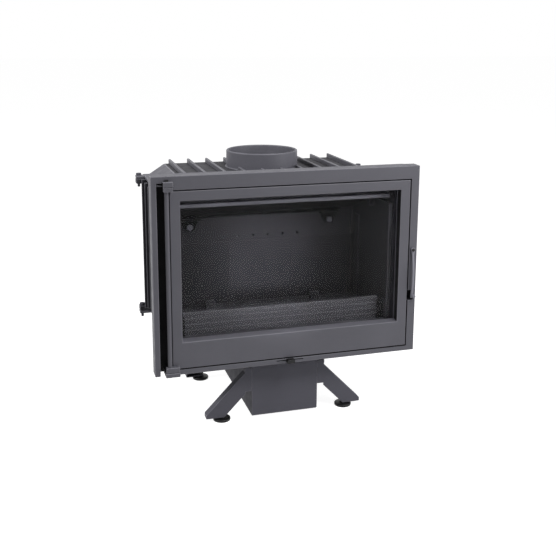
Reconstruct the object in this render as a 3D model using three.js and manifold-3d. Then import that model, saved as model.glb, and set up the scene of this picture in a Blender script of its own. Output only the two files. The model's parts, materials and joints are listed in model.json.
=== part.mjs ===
// A built-in cast-iron fireplace insert: a fixed front frame with a wide glazed door hinged on its left,
// a finned firebox with a ribbed hood and a round flue collar, and a pedestal box with four slanted legs.
// Millimetres. X runs across the front, Y from the face of the frame to the back, Z up from the floor.
import * as THREE from 'three';
import { mergeVertices } from 'three/addons/utils/BufferGeometryUtils.js';
import Module from 'manifold-3d';

const wasm = await Module();
wasm.setup();

// ---------------------------------------------------------------- driving dimensions
const GAP = 0.3; // left between two pieces that touch
const ROUND = 24; // sides of a small round

// front frame: its face is at Y 0
const FRAME_HALF = 350;
const FRAME_LOW = 161;
const FRAME_TOP = 666;
const FRAME_DEPTH = 40;
const RIM = { inner: 318, back: 36 }; // the outer rim of the frame is thinner than its middle
const LEDGE_FACE = 32; // the door gasket meets the ledge here
const LEDGE = { left: -288, right: 302, low: 222, top: 612 };

// door leaf and its window
const DOOR = { left: -305, right: 325, low: 177.5, top: 628.5, depth: 26 };
const WINDOW = { left: -280, right: 299, low: 249, top: 604 };
const DOOR_PLAY = 3;
const GLASS_LAP = 9; // the glass reaches this far behind the door round the window
const GLASS_FACE = 22;
const GLASS_THICK = 4;
const GASKET = { left: -296, right: 312, low: 192, top: 619, width: 7 }; // inner edges of the door rope
const CLIP = { spread: 180, half: 14, lap: 7, out: 5.4, thick: 2.5 };

// hinge on the left: a full-height barrel between two lugs of the frame
const HINGE = { x: -313, y: -3, barrel: 5.5, pin: 3 };
const LUG_FRONT = -14;
const CHANNEL_LEFT = -336.4; // the deep groove beside the hinge barrel
const CHANNEL_TOP = 649;
const UPPER_LUG = { left: -322, right: -298, low: 641, top: 654 };
const LOWER_LUG = { left: -325, right: -289, low: FRAME_LOW, top: 172 };
const EAR_PLAY = 0.6;
const EAR_TOP_LOW = 629;
const EAR_BOTTOM_TOP = 186;
const GROOVE = { half: 4, floor: 7, back: 10 }; // the dark groove between the barrel and the leaf

// latch lever on the right of the frame
const LATCH = { x: 337, z: 442, low: 315, width: 7, eye: 6, pin: 3, bow: -11, catch: 7.5 };
const LATCH_KNOB = { x: 341, radius: 5, front: -12 };
const POCKET = { right: 343, low: 303, top: 330, depth: 20 }; // the latch's catch goes in here

// firebox
const BODY_BACK = 400;
const WALL = 8;
const SIDE_OUT = 307; // outer face of the side walls
const FIN_OUT = 325;
const FIN_THICK = 6;
const FIRST_FIN = 58;
const LAST_FIN = 361;
const LUG_OUT = 338;
const CORNER_BOLT = { x: 330, y: 380 };
const BASE_LOW = 206;
const RIM_LOW = 600; // the hood stands on the side walls here
const ROOF_TOP = 635;
const ROOF_HALF = 255;
const HIP_HALF = 297;
const RIM_HALF = 315;
const RIB_TOP = 647;
const RIB_PITCH = 53;
const RIB_COUNT = 10;
const RIB_THICK = 7;
const FLUE = { y: 278, outer: 99, inner: 92, flange: 102, top: 684 };

// fire chamber
const HEARTH_TOP = 239;
const LINER_FACE = 286;
const FIREBACK_FACE = 300;
const CHAMBER_HALF = 281;
const STEP_HEIGHT = 421; // the air plate starts here, above the fireback
const STEP_DEPTH = 8;
const AIR_HOLES = { count: 6, pitch: 44, z: 436, radius: 3.5 };
const CHAMBER_TOP = 560;
const BRACKET_X = 205;
const BRACKET_BOLT = { z: 471, radius: 4 };
const BAFFLE_REST = 497;
const BAFFLE = { back: 288, front: 140, backLow: 503, frontLow: 562, thick: 9 };
const HEARTH_THICK = 12;
const ASH_MOUTH = { half: 72, front: 126, back: 294 };
const GRATE = { half: 79.5, front: 121, back: 299, thick: 6, slots: 8, pitch: 18.5 };
const AIR = { z: 169, half: 40, slot: 36, tongue: 1.6, tongueHalf: 5, play: 0.4, knobHalf: 10.5 };
const RETAINER = { half: 267, front: 62, back: 76, top: 300, bands: 4, groove: 2.5 };

// pedestal, legs and feet
const BOX_HALF = 91;
const BOX_FRONT = 44;
const BOX_BACK = 372;
const BOX_LOW = 5;
const SEAM = 139; // the pedestal box ends and the air box begins
const SHEET = 3;
const LEG = { fall: 1.03, start: 90, height: 148, drop: 60, tip: 214, low: 10, depth: 24 };
const LEG_TAB = { out: 109, low: 75, top: 140 };
const FOOT = { x: 170, front: 56, back: 340, disc: 23, stud: 5, thick: 8 };

// ---------------------------------------------------------------- materials
const castIron = new THREE.MeshStandardMaterial({ color: 0x5a5a60, roughness: 0.62, metalness: 0.25 });
const darkIron = new THREE.MeshStandardMaterial({ color: 0x3c3c41, roughness: 0.75, metalness: 0.2 });
const sheetSteel = new THREE.MeshStandardMaterial({ color: 0x4d4d52, roughness: 0.55, metalness: 0.3 });
const blackSteel = new THREE.MeshStandardMaterial({ color: 0x17181a, roughness: 0.5, metalness: 0.5 });
const rope = new THREE.MeshStandardMaterial({ color: 0x2b2b2d, roughness: 0.95, metalness: 0 });
const ceramicGlass = new THREE.MeshStandardMaterial({
  color: 0x20242a,
  roughness: 0.08,
  metalness: 0,
  transparent: true,
  opacity: 0.25,
});

// ---------------------------------------------------------------- geometry helpers
function toSolid(geometry) {
  geometry.deleteAttribute('normal');
  geometry.deleteAttribute('uv');
  const merged = mergeVertices(geometry, 1e-4);
  return new wasm.Manifold(new wasm.Mesh({
    numProp: 3,
    vertProperties: new Float32Array(merged.attributes.position.array),
    triVerts: new Uint32Array(merged.index.array),
  }));
}

function block(x0, x1, y0, y1, z0, z1) {
  const geometry = new THREE.BoxGeometry(x1 - x0, y1 - y0, z1 - z0);
  geometry.translate((x0 + x1) / 2, (y0 + y1) / 2, (z0 + z1) / 2);
  return toSolid(geometry);
}

function extrusion(points, depth) {
  const shape = new THREE.Shape(points.map(([u, v]) => new THREE.Vector2(u, v)));
  return new THREE.ExtrudeGeometry(shape, { depth, bevelEnabled: false });
}

// an outline in X and Z, carried along Y
function prismY(points, y0, y1) {
  const geometry = extrusion(points, y1 - y0);
  geometry.rotateX(Math.PI / 2);
  geometry.translate(0, y1, 0);
  return toSolid(geometry);
}

// an outline in Y and Z, carried along X
function prismX(points, x0, x1) {
  const geometry = extrusion(points, x1 - x0);
  const turn = new THREE.Matrix4().makeBasis(
    new THREE.Vector3(0, 1, 0),
    new THREE.Vector3(0, 0, 1),
    new THREE.Vector3(1, 0, 0),
  );
  geometry.applyMatrix4(turn);
  geometry.translate(x0, 0, 0);
  return toSolid(geometry);
}

function rodZ(x, y, radius, z0, z1, sides = ROUND) {
  const geometry = new THREE.CylinderGeometry(radius, radius, z1 - z0, sides);
  geometry.rotateX(Math.PI / 2);
  geometry.translate(x, y, (z0 + z1) / 2);
  return toSolid(geometry);
}

function rodY(x, z, radius, y0, y1, sides = ROUND) {
  const geometry = new THREE.CylinderGeometry(radius, radius, y1 - y0, sides);
  geometry.translate(x, (y0 + y1) / 2, z);
  return toSolid(geometry);
}

// a closed outline of radius and height, turned about an upright axis
function turned(outline, x, y, sides) {
  const ring = [...outline, outline[0]].map(([r, z]) => new THREE.Vector2(r, z));
  const geometry = new THREE.LatheGeometry(ring, sides);
  geometry.rotateX(Math.PI / 2);
  geometry.translate(x, y, 0);
  return toSolid(geometry);
}

function join(first, ...others) {
  return others.reduce((whole, piece) => whole.add(piece), first);
}

function cut(first, ...others) {
  return others.reduce((whole, piece) => whole.subtract(piece), first);
}

function mirrored(points) {
  return points.map(([x, z]) => [-x, z]).reverse();
}

const group = new THREE.Group();

function addPart(name, solid, material) {
  const mesh = solid.getMesh();
  const geometry = new THREE.BufferGeometry();
  geometry.setAttribute('position', new THREE.BufferAttribute(mesh.vertProperties, 3));
  geometry.setIndex(new THREE.BufferAttribute(mesh.triVerts, 1));
  const node = new THREE.Mesh(geometry, material);
  node.name = name;
  group.add(node);
}

const SIDES = [['left', -1], ['right', 1]];

// the same span of X on the left or on the right
function across(side, near, far) {
  return side < 0 ? [-far, -near] : [near, far];
}

// ---------------------------------------------------------------- front frame
function frontFrame() {
  const play = DOOR_PLAY;
  const ahead = LUG_FRONT - 1;
  const slab = block(-FRAME_HALF, FRAME_HALF, 0, FRAME_DEPTH, FRAME_LOW, FRAME_TOP);
  const lugs = [UPPER_LUG, LOWER_LUG].map((lug) => (
    block(lug.left, lug.right, LUG_FRONT, LEDGE_FACE, lug.low, lug.top)));
  const recess = block(HINGE.x, DOOR.right + play, ahead, LEDGE_FACE, DOOR.low - play, DOOR.top + play);
  const channel = block(CHANNEL_LEFT, HINGE.x + 6, ahead, LEDGE_FACE, FRAME_LOW - 1, CHANNEL_TOP);
  const upperEarRoom = block(HINGE.x, UPPER_LUG.right + 1, ahead, LEDGE_FACE, DOOR.top, UPPER_LUG.low);
  const lowerEarRoom = block(HINGE.x, LOWER_LUG.right, ahead, LEDGE_FACE, LOWER_LUG.top, DOOR.low);
  const through = block(LEDGE.left, LEDGE.right, LEDGE_FACE - 1, FRAME_DEPTH + 1, LEDGE.low, LEDGE.top);
  const pocket = block(DOOR.right, POCKET.right, -1, POCKET.depth, POCKET.low, POCKET.top);
  const slotHalf = AIR.tongue / 2 + AIR.play;
  const airSlot = block(-AIR.slot, AIR.slot, -1, FRAME_DEPTH + 1, AIR.z - slotHalf, AIR.z + slotHalf);
  const latchBore = rodY(LATCH.x, LATCH.z, LATCH.pin + GAP, -1, 25);
  const pinBore = rodZ(HINGE.x, HINGE.y, HINGE.pin + GAP, FRAME_LOW - 1, FRAME_TOP, ROUND);
  const headRoom = rodZ(HINGE.x, HINGE.y, 6.2, UPPER_LUG.top, UPPER_LUG.top + 4);
  const behindRims = SIDES.map(([, sign]) => {
    const [near, far] = across(sign, RIM.inner, FRAME_HALF + 1);
    return block(near, far, RIM.back, FRAME_DEPTH + 1, FRAME_LOW - 1, FRAME_TOP + 1);
  });
  const hollow = cut(slab, recess, channel, upperEarRoom, through, pocket, airSlot, latchBore, ...behindRims);
  const sill = block(LOWER_LUG.left, HINGE.x + 8, 0, LEDGE_FACE, FRAME_LOW, LOWER_LUG.top);
  const aboveLug = block(UPPER_LUG.left, HINGE.x + 8, 0, LEDGE_FACE, UPPER_LUG.low, CHANNEL_TOP + 1);
  // a small arm crosses the groove to the upper lug
  const arm = block(CHANNEL_LEFT - 1, UPPER_LUG.left + 1, 4, LEDGE_FACE, UPPER_LUG.low, UPPER_LUG.low + 5);
  return cut(join(hollow, ...lugs, sill, aboveLug, arm), pinBore, headRoom, lowerEarRoom);
}

// ---------------------------------------------------------------- door
function doorLeaf() {
  const leaf = block(DOOR.left, DOOR.right, 0, DOOR.depth, DOOR.low, DOOR.top);
  const opening = block(WINDOW.left, WINDOW.right, -1, DOOR.depth + 1, WINDOW.low, WINDOW.top);
  const glassRoom = block(
    WINDOW.left - GLASS_LAP - 1, WINDOW.right + GLASS_LAP + 1,
    GLASS_FACE - 2, DOOR.depth + 1,
    WINDOW.low - GLASS_LAP - 1, WINDOW.top + GLASS_LAP + 1,
  );
  const barrelLow = LOWER_LUG.top + EAR_PLAY;
  const barrelTop = UPPER_LUG.low - EAR_PLAY;
  const barrel = rodZ(HINGE.x, HINGE.y, HINGE.barrel, barrelLow, barrelTop, 16);
  const tail = block(
    HINGE.x - GROOVE.half, HINGE.x + GROOVE.half, HINGE.y, GROOVE.back, DOOR.low + 1, DOOR.top - 1,
  );
  const web = block(HINGE.x, DOOR.left + 1, GROOVE.floor, GROOVE.back, DOOR.low + 1, DOOR.top - 1);
  const lowerEar = block(HINGE.x - 10, LOWER_LUG.right - 1, LUG_FRONT + 1, 1, barrelLow, EAR_BOTTOM_TOP);
  const upperEar = block(HINGE.x - 8, UPPER_LUG.right - 1, LUG_FRONT + 1, 1, EAR_TOP_LOW, barrelTop);
  const boreDepth = 26;
  const bores = [
    rodZ(HINGE.x, HINGE.y, HINGE.pin + GAP, barrelLow - 1, barrelLow + boreDepth),
    rodZ(HINGE.x, HINGE.y, HINGE.pin + GAP, barrelTop - boreDepth, barrelTop + 1),
  ];
  // the sill of the window slopes down to the front
  const sill = prismX([
    [-1, WINDOW.low + 0.01],
    [GLASS_FACE - 4, WINDOW.low + 0.01],
    [-1, WINDOW.low - 4],
  ], WINDOW.left, WINDOW.right);
  return cut(join(leaf, barrel, tail, web, lowerEar, upperEar), opening, glassRoom, sill, ...bores);
}

function ringY(inner, width, y0, y1) {
  return cut(
    block(inner.left - width, inner.right + width, y0, y1, inner.low - width, inner.top + width),
    block(inner.left, inner.right, y0 - 1, y1 + 1, inner.low, inner.top),
  );
}

function doorFittings() {
  const glassEdge = {
    left: WINDOW.left - GLASS_LAP,
    right: WINDOW.right + GLASS_LAP,
    low: WINDOW.low - GLASS_LAP,
    top: WINDOW.top + GLASS_LAP,
  };
  const seal = GLASS_LAP - 2;
  const sealInner = {
    left: WINDOW.left - 2,
    right: WINDOW.right + 2,
    low: WINDOW.low - 2,
    top: WINDOW.top + 2,
  };
  addPart('door_glass', block(
    glassEdge.left, glassEdge.right, GLASS_FACE, GLASS_FACE + GLASS_THICK, glassEdge.low, glassEdge.top,
  ), ceramicGlass);
  addPart('glass_gasket', ringY(sealInner, seal, GLASS_FACE - 2 + GAP, GLASS_FACE - GAP), rope);
  const back = DOOR.depth + GAP;
  addPart('door_gasket', ringY(GASKET, GASKET.width, back, LEDGE_FACE - GAP), rope);
  const middle = (WINDOW.left + WINDOW.right) / 2;
  for (const [level, edge, inward] of [['upper', glassEdge.top, -1], ['lower', glassEdge.low, 1]]) {
    for (const [side, sign] of SIDES) {
      const x = middle + sign * CLIP.spread;
      const ends = [edge + inward * CLIP.lap, edge - inward * CLIP.out].sort((a, b) => a - b);
      const plate = block(x - CLIP.half, x + CLIP.half, back, back + CLIP.thick, ends[0], ends[1]);
      const head = rodY(x, edge - inward * 2.4, 2.8, back + 2, back + CLIP.thick + 2, 6);
      addPart(`glass_clip_${level}_${side}`, join(plate, head), blackSteel);
    }
  }
}

function hingePins() {
  const headTop = UPPER_LUG.top + 3;
  const upper = join(
    rodZ(HINGE.x, HINGE.y, HINGE.pin, UPPER_LUG.low - 22, headTop - 2),
    rodZ(HINGE.x, HINGE.y, 5.5, UPPER_LUG.top + GAP, headTop),
  );
  const lower = join(
    rodZ(HINGE.x, HINGE.y, HINGE.pin, LOWER_LUG.low - 2, LOWER_LUG.top + 22),
    rodZ(HINGE.x, HINGE.y, 5.5, LOWER_LUG.low - 3, LOWER_LUG.low - GAP),
  );
  addPart('upper_hinge_pin', upper, blackSteel);
  addPart('lower_hinge_pin', lower, blackSteel);
}

// ---------------------------------------------------------------- latch
function latchLever() {
  const half = LATCH.width / 2;
  const face = -1;
  // seen from the side the bar bows outwards, so that fingers reach behind it
  const bar = prismX([
    [face, LATCH.z + 9],
    [face, LATCH.z - 12],
    [-6, LATCH.low + 70],
    [-6, LATCH.low + 30],
    [face, LATCH.low + 6],
    [face, LATCH.low - 6],
    [-6, LATCH.low - 6],
    [LATCH.bow, LATCH.low + 26],
    [LATCH.bow, LATCH.low + 74],
    [-6, LATCH.z - 10],
    [-6, LATCH.z + 9],
  ], LATCH.x - half, LATCH.x + half);
  const eye = rodY(LATCH.x, LATCH.z, LATCH.eye, -6, face);
  const aboveEye = block(LATCH.x - 20, LATCH.x + 20, -20, 5, LATCH.z, LATCH.z + 20);
  // the catch reaches back into the pocket, just clear of the door's edge
  const nose = block(LATCH.x - LATCH.catch, LATCH.x + 2, -4, 12, LATCH.low - 5, LATCH.low + 7);
  const knob = rodY(LATCH_KNOB.x, LATCH.low, LATCH_KNOB.radius, LATCH_KNOB.front, -3);
  const bore = rodY(LATCH.x, LATCH.z, LATCH.pin + GAP, -30, 10);
  return cut(join(cut(bar, aboveEye), eye, nose, knob), bore);
}

function latchPin() {
  return join(
    rodY(LATCH.x, LATCH.z, LATCH.pin, -7, 22),
    rodY(LATCH.x, LATCH.z, 4.6, -8.5, -6 - GAP),
  );
}

// ---------------------------------------------------------------- air control
function airShutter() {
  const plate = block(-AIR.half, AIR.half, FRAME_DEPTH + 0.8, FRAME_DEPTH + 3, AIR.z - 5, AIR.z + 11);
  const half = AIR.tongue / 2;
  const tongue = block(-AIR.tongueHalf, AIR.tongueHalf, -4, FRAME_DEPTH + 2, AIR.z - half, AIR.z + half);
  return join(plate, tongue);
}

function airKnob() {
  const wide = AIR.knobHalf;
  const tall = 5.5;
  const corner = 2;
  const knob = prismY([
    [-wide, AIR.z - tall + corner],
    [-wide + corner, AIR.z - tall],
    [wide - corner, AIR.z - tall],
    [wide, AIR.z - tall + corner],
    [wide, AIR.z + tall - corner],
    [wide - corner, AIR.z + tall],
    [-wide + corner, AIR.z + tall],
    [-wide, AIR.z + tall - corner],
  ], -13, -1);
  const half = AIR.tongue / 2 + GAP;
  const mortise = block(
    -AIR.tongueHalf - GAP, AIR.tongueHalf + GAP, -4 - GAP, 5, AIR.z - half, AIR.z + half,
  );
  return cut(knob, mortise);
}

// ---------------------------------------------------------------- firebox shell
function sideWall(side) {
  const [inner, outer] = across(side, SIDE_OUT - WALL, SIDE_OUT);
  const low = BASE_LOW + WALL + GAP;
  const top = RIM_LOW - GAP;
  const back = BODY_BACK - WALL - GAP;
  let wall = block(inner, outer, FRAME_DEPTH + GAP, back, low, top);
  const finCount = 6;
  const pitch = (LAST_FIN - FIRST_FIN) / (finCount - 1);
  for (let i = 0; i < finCount; i += 1) {
    const y = FIRST_FIN + i * pitch;
    // the fins end higher and higher towards the front
    const finLow = 315 - (y - FIRST_FIN) * 0.3;
    const [near, far] = across(side, SIDE_OUT - 1, FIN_OUT);
    wall = wall.add(block(near, far, y - FIN_THICK / 2, y + FIN_THICK / 2, finLow, top));
  }
  for (const [z0, z1] of [[low, low + 14], [top - 14, top]]) {
    const [near, far] = across(side, SIDE_OUT - 1, LUG_OUT);
    const lug = block(near, far, back - 26, back, z0, z1);
    wall = cut(wall.add(lug), rodZ(side * CORNER_BOLT.x, CORNER_BOLT.y, 4 + GAP, z0 - 1, z1 + 1));
  }
  return wall;
}

function backWall() {
  const low = BASE_LOW + WALL + GAP;
  const top = RIM_LOW - GAP;
  let wall = block(-SIDE_OUT, SIDE_OUT, BODY_BACK - WALL, BODY_BACK, low, top);
  const finCount = 9;
  const pitch = 66;
  for (let i = 0; i < finCount; i += 1) {
    const x = (i - (finCount - 1) / 2) * pitch;
    const half = FIN_THICK / 2;
    wall = wall.add(block(x - half, x + half, BODY_BACK - 1, BODY_BACK + 12, low + 14, top - 14));
  }
  return wall;
}

// the opening that lets the ash fall
function ashMouth(z0, z1) {
  return block(-ASH_MOUTH.half, ASH_MOUTH.half, ASH_MOUTH.front, ASH_MOUTH.back, z0, z1);
}

function basePlate() {
  const top = BASE_LOW + WALL;
  const plate = block(-SIDE_OUT, SIDE_OUT, FRAME_DEPTH + GAP, BODY_BACK, BASE_LOW, top);
  const mouth = ashMouth(BASE_LOW - 1, top + 1);
  const tabs = SIDES.map(([, sign]) => {
    const [near, far] = across(sign, SIDE_OUT - 1, LUG_OUT);
    return cut(
      block(near, far, CORNER_BOLT.y - 14, CORNER_BOLT.y + 11, BASE_LOW, top),
      rodZ(sign * CORNER_BOLT.x, CORNER_BOLT.y, 4 + GAP, BASE_LOW - 1, top + 1),
    );
  });
  const frontRim = block(
    -SIDE_OUT, SIDE_OUT, FRAME_DEPTH + GAP, FRAME_DEPTH + 8, BASE_LOW - 10, BASE_LOW + 1,
  );
  const cleared = block(-BOX_HALF - 1, BOX_HALF + 1, FRAME_DEPTH, FRAME_DEPTH + 9, BASE_LOW - 11, BASE_LOW);
  return join(cut(plate, mouth), ...tabs, cut(frontRim, cleared));
}

function hood() {
  const front = FRAME_DEPTH + GAP;
  const outline = [
    [RIM_HALF, RIM_LOW],
    [RIM_HALF, RIM_LOW + WALL],
    [HIP_HALF, RIM_LOW + WALL],
    [ROOF_HALF, ROOF_TOP],
  ];
  const hollow = [
    [HIP_HALF - 10, RIM_LOW - 1],
    [HIP_HALF - 10, RIM_LOW + 4],
    [ROOF_HALF - 4, ROOF_TOP - WALL],
  ];
  const shell = cut(
    prismY([...outline, ...mirrored(outline)], front, BODY_BACK),
    prismY([...hollow, ...mirrored(hollow)], front + WALL, BODY_BACK - WALL),
  );
  let ribs = null;
  for (let i = 0; i < RIB_COUNT; i += 1) {
    const x = (i - (RIB_COUNT - 1) / 2) * RIB_PITCH;
    const half = RIB_THICK / 2;
    const rib = block(x - half, x + half, front, BODY_BACK, ROOF_TOP - 2, RIB_TOP);
    ribs = ribs ? ribs.add(rib) : rib;
  }
  const collarRoom = rodZ(0, FLUE.y, FLUE.flange + 1, ROOF_TOP, RIB_TOP + 1, 48);
  const smokeHole = rodZ(0, FLUE.y, FLUE.inner - 4, ROOF_TOP - 20, RIB_TOP, 48);
  const tabs = SIDES.map(([, sign]) => {
    const [near, far] = across(sign, RIM_HALF - 1, LUG_OUT);
    return cut(
      block(near, far, CORNER_BOLT.y - 14, CORNER_BOLT.y + 11, RIM_LOW, RIM_LOW + WALL),
      rodZ(sign * CORNER_BOLT.x, CORNER_BOLT.y, 4 + GAP, RIM_LOW - 1, RIM_LOW + WALL + 1),
    );
  });
  return cut(join(shell, cut(ribs, collarRoom), ...tabs), smokeHole);
}

function flueCollar() {
  const foot = ROOF_TOP + GAP;
  return turned([
    [FLUE.inner, foot],
    [FLUE.flange, foot],
    [FLUE.flange, foot + 3],
    [FLUE.outer, foot + 5],
    [FLUE.outer, FLUE.top - 1.5],
    [FLUE.outer - 1.5, FLUE.top],
    [FLUE.inner, FLUE.top],
  ], 0, FLUE.y, 64);
}

function cornerBolt(side, upper) {
  const x = side * CORNER_BOLT.x;
  const y = CORNER_BOLT.y;
  const seat = upper ? RIM_LOW + WALL + GAP : BASE_LOW + WALL + GAP + 14 + GAP;
  const end = upper ? RIM_LOW - 24 : BASE_LOW - 12;
  return join(
    rodZ(x, y, 4, end, seat + 2, 12),
    rodZ(x, y, 8, seat, seat + 6, 6),
  );
}

// ---------------------------------------------------------------- fire chamber
function hearth() {
  const low = BASE_LOW + WALL + GAP;
  const half = LINER_FACE - 1;
  const front = FRAME_DEPTH + 4;
  const back = FIREBACK_FACE + 22;
  const plate = block(-half, half, front, back, low, HEARTH_TOP);
  const under = block(
    -half + WALL, half - WALL, front + WALL, back - WALL, low - 1, HEARTH_TOP - HEARTH_THICK,
  );
  const play = 0.5;
  const seat = block(
    -GRATE.half - play, GRATE.half + play,
    GRATE.front - play, GRATE.back + play,
    HEARTH_TOP - GRATE.thick, HEARTH_TOP + 1,
  );
  return cut(plate, under, ashMouth(low - 1, HEARTH_TOP + 1), seat);
}

function grate() {
  const top = HEARTH_TOP;
  let body = block(-GRATE.half, GRATE.half, GRATE.front, GRATE.back, top - GRATE.thick + GAP, top);
  const middle = (GRATE.front + GRATE.back) / 2;
  const slotHalf = 4;
  for (let i = 0; i < GRATE.slots; i += 1) {
    const y = middle + (i - (GRATE.slots - 1) / 2) * GRATE.pitch;
    body = body.subtract(block(-62, 62, y - slotHalf, y + slotHalf, top - 10, top + 1));
  }
  return body;
}

function ashPan() {
  const rim = BASE_LOW + WALL + GAP;
  const low = 168;
  const outer = join(
    block(-78, 78, 120, 300, rim, rim + 1.5),
    block(-70, 70, 128, 292, low, rim + 1),
  );
  return cut(outer, block(-68, 68, 130, 290, low + 2, rim + 5));
}

// the height of the baffle's underside at a depth
function baffleUnder(y) {
  const { back, front, backLow, frontLow } = BAFFLE;
  return frontLow + ((y - front) * (backLow - frontLow)) / (back - front);
}

function sideLiner(side) {
  const [near, far] = across(side, LINER_FACE, LINER_FACE + 10);
  const low = BASE_LOW + WALL + GAP;
  const plate = block(near, far, FRAME_DEPTH + 6, 340, low, CHAMBER_TOP);
  const [bandNear, bandFar] = across(side, LINER_FACE - 4, LINER_FACE + 1);
  const band = block(bandNear, bandFar, 250, 279, HEARTH_TOP + 1, CHAMBER_TOP - 74);
  // the front of the smoke baffle rests on a lug
  const [lugNear, lugFar] = across(side, LINER_FACE - 16, LINER_FACE + 1);
  const lugBack = BAFFLE.front + 20;
  const lug = block(lugNear, lugFar, BAFFLE.front + 4, lugBack, 536, baffleUnder(lugBack) - GAP);
  return join(plate, band, lug);
}

function fireback() {
  const plate = block(
    -CHAMBER_HALF, CHAMBER_HALF, FIREBACK_FACE, FIREBACK_FACE + 10, HEARTH_TOP + GAP, STEP_HEIGHT,
  );
  // shallow upright panel lines
  const grooves = [-94, 94].map((x) => (
    block(x - 1.5, x + 1.5, FIREBACK_FACE - 1, FIREBACK_FACE + 2, HEARTH_TOP + 20, STEP_HEIGHT - 20)));
  return cut(plate, ...grooves);
}

function airPlate() {
  const face = FIREBACK_FACE - STEP_DEPTH;
  let plate = block(-CHAMBER_HALF, CHAMBER_HALF, face, FIREBACK_FACE + 10, STEP_HEIGHT + GAP, CHAMBER_TOP);
  for (let i = 0; i < AIR_HOLES.count; i += 1) {
    const x = (i - (AIR_HOLES.count - 1) / 2) * AIR_HOLES.pitch;
    plate = plate.subtract(rodY(x, AIR_HOLES.z, AIR_HOLES.radius, face - 1, FIREBACK_FACE + 11, 16));
  }
  for (const sign of [-1, 1]) {
    plate = plate.subtract(rodY(
      sign * BRACKET_X, BRACKET_BOLT.z, BRACKET_BOLT.radius + GAP, face - 1, FIREBACK_FACE + 11, 12,
    ));
  }
  return plate;
}

function airDuct() {
  const front = FIREBACK_FACE + 10 + GAP;
  const low = BASE_LOW + WALL + GAP;
  const channel = block(-130, 130, front, front + 34, low, AIR_HOLES.z + 22);
  const inside = block(-127, 127, front - 1, front + 31, low - 1, AIR_HOLES.z + 19);
  const overHearth = block(-131, 131, front - 1, FIREBACK_FACE + 23, low - 1, HEARTH_TOP + 0.5);
  return cut(channel, inside, overHearth);
}

function baffleBracket(side) {
  const x = side * BRACKET_X;
  const back = FIREBACK_FACE - STEP_DEPTH - GAP;
  const plate = prismY([
    [x - 12, 459],
    [x + 12, 459],
    [x + 30, BAFFLE_REST - 4],
    [x + 30, BAFFLE_REST],
    [x - 30, BAFFLE_REST],
    [x - 30, BAFFLE_REST - 4],
  ], back - 6, back);
  const shelf = block(x - 30, x + 30, back - 30, back - 1, BAFFLE_REST - 5, BAFFLE_REST);
  const bore = rodY(x, BRACKET_BOLT.z, BRACKET_BOLT.radius + GAP, back - 40, back + 1, 12);
  return cut(plate.add(shelf), bore);
}

function baffleBolt(side) {
  const x = side * BRACKET_X;
  const seat = FIREBACK_FACE - STEP_DEPTH - GAP - 6 - GAP;
  return join(
    rodY(x, BRACKET_BOLT.z, BRACKET_BOLT.radius, seat - 1, FIREBACK_FACE + 20, 12),
    rodY(x, BRACKET_BOLT.z, 9, seat - 6, seat, 6),
  );
}

function baffle() {
  const { back, front, backLow, frontLow, thick } = BAFFLE;
  const plate = prismX([
    [front, frontLow],
    [back, backLow],
    [back, backLow + thick],
    [front, frontLow + thick],
  ], -LINER_FACE + 6, LINER_FACE - 6);
  // a foot along the back rests on the two brackets
  const rest = block(-BRACKET_X - 25, BRACKET_X + 25, back - 18, back - 2, BAFFLE_REST + GAP, backLow + 6);
  return plate.add(rest);
}

function airwashDeflector() {
  // an angle behind the top of the window, which sends air down the glass
  const half = 286;
  return join(
    block(-half, half, FRAME_DEPTH + 4, FRAME_DEPTH + 44, 580, 584),
    block(-half, half, FRAME_DEPTH + 4, FRAME_DEPTH + 8, 577, 586),
    block(-half, half, FRAME_DEPTH + 40, FRAME_DEPTH + 44, 580, RIM_LOW - 2),
  );
}

function logRetainer() {
  const { half, front, back, top, bands, groove } = RETAINER;
  const low = HEARTH_TOP + GAP;
  let bar = block(-half, half, front, back, low, top);
  const pitch = (top - low) / bands;
  for (let i = 1; i < bands; i += 1) {
    const z = low + i * pitch;
    bar = bar.subtract(block(-half - 1, half + 1, front - 1, front + groove, z - 1.2, z + 1.2));
  }
  return bar;
}

function retainerGuide(side) {
  const [near, far] = across(side, RETAINER.half - 4, LINER_FACE - GAP - 1);
  const shell = block(near, far, RETAINER.front - 4, RETAINER.back + 4, HEARTH_TOP + GAP, 292);
  const [slotNear, slotFar] = across(side, RETAINER.half - 6, RETAINER.half + 1);
  return cut(shell, block(slotNear, slotFar, RETAINER.front - 0.6, RETAINER.back + 0.6, HEARTH_TOP, 293));
}

function rearStop(side) {
  const x = side * 155;
  return prismX([
    [252, HEARTH_TOP + GAP],
    [274, HEARTH_TOP + GAP],
    [272, 263],
    [260, 263],
  ], x - 12, x + 12);
}

// ---------------------------------------------------------------- pedestal
function airBox() {
  const top = BASE_LOW - GAP;
  const shell = block(-BOX_HALF, BOX_HALF, BOX_FRONT, BOX_BACK, SEAM + GAP, top);
  const inside = block(
    -BOX_HALF + SHEET, BOX_HALF - SHEET, BOX_FRONT + SHEET, BOX_BACK - SHEET, SEAM - 1, top + 1,
  );
  const port = block(-28, 28, BOX_FRONT - 1, BOX_FRONT + SHEET + 1, AIR.z - 3, AIR.z + 9);
  return cut(shell, inside, port);
}

function pedestalBox() {
  const shell = block(-BOX_HALF, BOX_HALF, BOX_FRONT, BOX_BACK, BOX_LOW, SEAM);
  const inside = block(
    -BOX_HALF + SHEET, BOX_HALF - SHEET, BOX_FRONT + SHEET, BOX_BACK - SHEET, BOX_LOW - 1, SEAM + 1,
  );
  return cut(shell, inside);
}

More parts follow.
